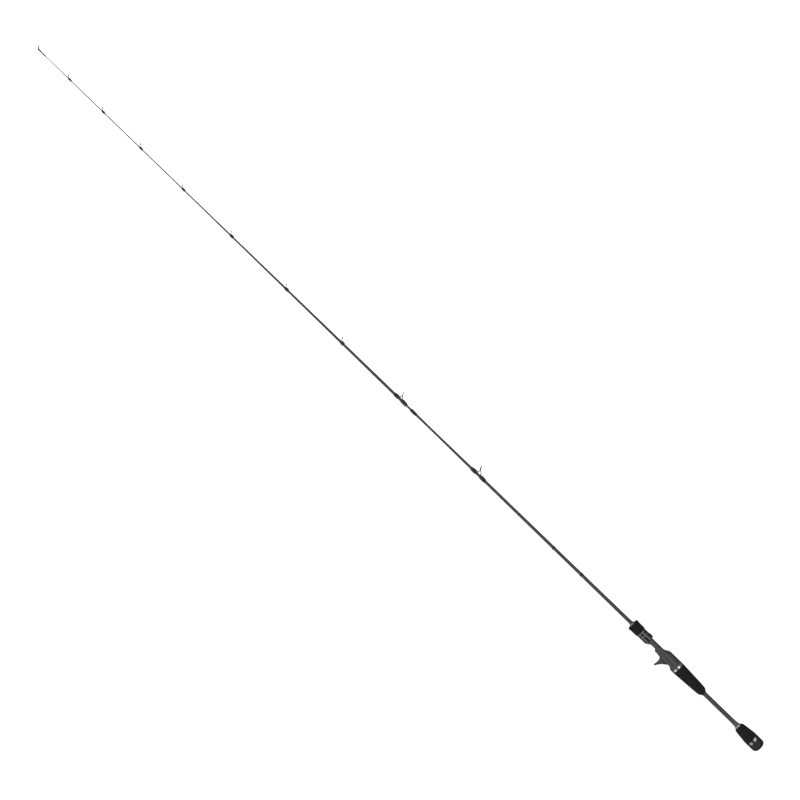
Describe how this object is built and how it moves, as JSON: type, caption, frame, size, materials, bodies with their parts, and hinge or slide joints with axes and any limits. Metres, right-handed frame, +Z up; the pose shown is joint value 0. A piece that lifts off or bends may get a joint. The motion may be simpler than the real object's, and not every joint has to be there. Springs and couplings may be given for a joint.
{
  "type": "fishing rod",
  "caption": "Two-piece casting rod with a trigger reel seat, screw-locked hood, split foam grips and line guides; it carries a low-profile reel.",
  "frame": {"origin": "centre of the flat end face of the butt cap, on the blank's axis", "axes": "+X along the blank from the butt to the tip; -Y towards the side that carries the reel and the line guides; the trigger points to +Y; +Z up, so the rod lies on its side"},
  "size_m": [1.98, 0.0465, 0.0276],
  "materials": {
    "carbon_blank": "clear-coated carbon-fibre laminate, semi-gloss dark grey",
    "raw_carbon": "ground, uncoated carbon laminate",
    "black_thread": "black thread under clear epoxy",
    "gold_thread": "gold-tinted metallic thread under clear epoxy",
    "eva_foam": "fine-cell moulded foam, matt near-black",
    "cap_rubber": "moulded rubber, satin dark grey",
    "seat_plastic": "soft-touch paint on fibre-filled nylon, warm dark grey",
    "hood_plastic": "glossy black moulding",
    "steel_trim": "polished stainless steel",
    "gold_trim": "pale gold anodised, turned",
    "guide_metal": "dark ion-plated stamped steel",
    "guide_ceramic": "polished dark ceramic ring",
    "arbor_foam": "rigid foam bushing",
    "nut_metal": "anodised threaded sleeve"
  },
  "bodies": {
    "butt_section": {"butt_cap": "cap_rubber", "butt_plug": "cap_rubber", "butt_grip": "eva_foam", "butt_check": "gold_trim", "butt_winding": "gold_thread", "rear_grip_check": "hood_plastic", "rear_grip": "eva_foam", "seat_end_ring": "steel_trim", "seat_body": "seat_plastic", "seat_arbor_rear": "arbor_foam", "seat_arbor_front": "arbor_foam", "fixed_hood_liner": "steel_trim", "front_check": "gold_trim", "butt_blank": "carbon_blank", "label_winding_rear": "black_thread", "label_winding_front": "black_thread", "ferrule_winding": "black_thread", "ferrule_spigot": "raw_carbon", "guide_1_frame": "guide_metal", "guide_1_ring": "guide_ceramic", "guide_1_rear_winding": "black_thread", "guide_1_front_winding": "black_thread"},
    "tip_section": {"tip_blank": "carbon_blank", "guide_2_frame": "guide_metal", "guide_2_ring": "guide_ceramic", "guide_2_rear_winding": "black_thread", "guide_2_front_winding": "black_thread", "guide_3_frame": "guide_metal", "guide_3_ring": "guide_ceramic", "guide_3_winding": "black_thread", "guide_4_frame": "guide_metal", "guide_4_ring": "guide_ceramic", "guide_4_winding": "black_thread", "guide_5_frame": "guide_metal", "guide_5_ring": "guide_ceramic", "guide_5_winding": "black_thread", "guide_6_frame": "guide_metal", "guide_6_ring": "guide_ceramic", "guide_6_winding": "black_thread", "guide_7_frame": "guide_metal", "guide_7_ring": "guide_ceramic", "guide_7_winding": "black_thread", "guide_8_frame": "guide_metal", "guide_8_ring": "guide_ceramic", "guide_8_winding": "black_thread", "guide_9_frame": "guide_metal", "guide_9_ring": "guide_ceramic", "guide_9_winding": "black_thread", "tip_top_frame": "guide_metal", "tip_top_ring": "guide_ceramic", "tip_top_winding": "black_thread"},
    "sliding_hood": {"hood_sleeve": "hood_plastic", "hood_liner": "steel_trim", "hood_trim_rear": "steel_trim", "hood_trim_front": "steel_trim"},
    "lock_nut": {"nut_core": "nut_metal", "nut_grip": "eva_foam"}
  },
  "joints": [
    {"name": "ferrule_slide", "type": "slide", "parent": "butt_section", "child": "tip_section", "axis": [1, 0, 0], "range_m": [0, 0.07]},
    {"name": "hood_slide", "type": "slide", "parent": "butt_section", "child": "sliding_hood", "axis": [-1, 0, 0], "range_m": [0, 0.0121]},
    {"name": "nut_turn", "type": "hinge", "parent": "sliding_hood", "child": "lock_nut", "pos_m": [0.34, 0, 0], "axis": [-1, 0, 0], "range_deg": [0, 2880]}
  ],
  "couplings": [
    {"joint": "hood_slide", "follows": "nut_turn", "m_per_rad": 0.00023873}
  ]
}
